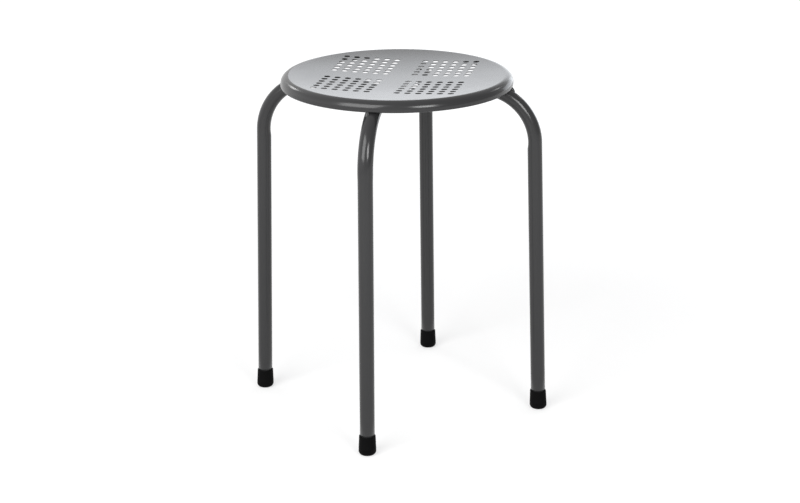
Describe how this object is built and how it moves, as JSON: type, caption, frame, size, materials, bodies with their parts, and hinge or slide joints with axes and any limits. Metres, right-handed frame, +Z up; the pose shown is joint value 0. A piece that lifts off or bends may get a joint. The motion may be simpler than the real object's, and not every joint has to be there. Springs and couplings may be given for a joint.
{
  "type": "stacking stool",
  "caption": "Stacking stool: a round dished seat pressed from perforated sheet steel, welded on crossed bent tube legs that splay outwards and stand on rubber feet.",
  "frame": {"origin": "on the floor under the middle of the seat, at the centre of the circle through the four feet", "axes": "+Z up through the middle of the seat; +X along the lower leg tube, towards the right leg; +Y along the upper leg tube, towards the back leg"},
  "size_m": [0.4024, 0.4024, 0.45],
  "materials": {
    "seat_paint": "dark grey powder coat with a satin gloss, fine orange peel",
    "frame_paint": "dark grey powder coat with a satin gloss, fine orange peel",
    "foot_rubber": "moulded black rubber, matt with a slight sheen"
  },
  "bodies": {
    "root": {"seat_pan": "seat_paint", "left_right_leg_tube": "frame_paint", "front_back_leg_tube": "frame_paint", "right_foot": "foot_rubber", "back_foot": "foot_rubber", "left_foot": "foot_rubber", "front_foot": "foot_rubber", "right_rim_weld": "frame_paint", "back_rim_weld": "frame_paint", "left_rim_weld": "frame_paint", "front_rim_weld": "frame_paint", "right_crossing_weld": "frame_paint", "left_crossing_weld": "frame_paint"}
  },
  "joints": []
}
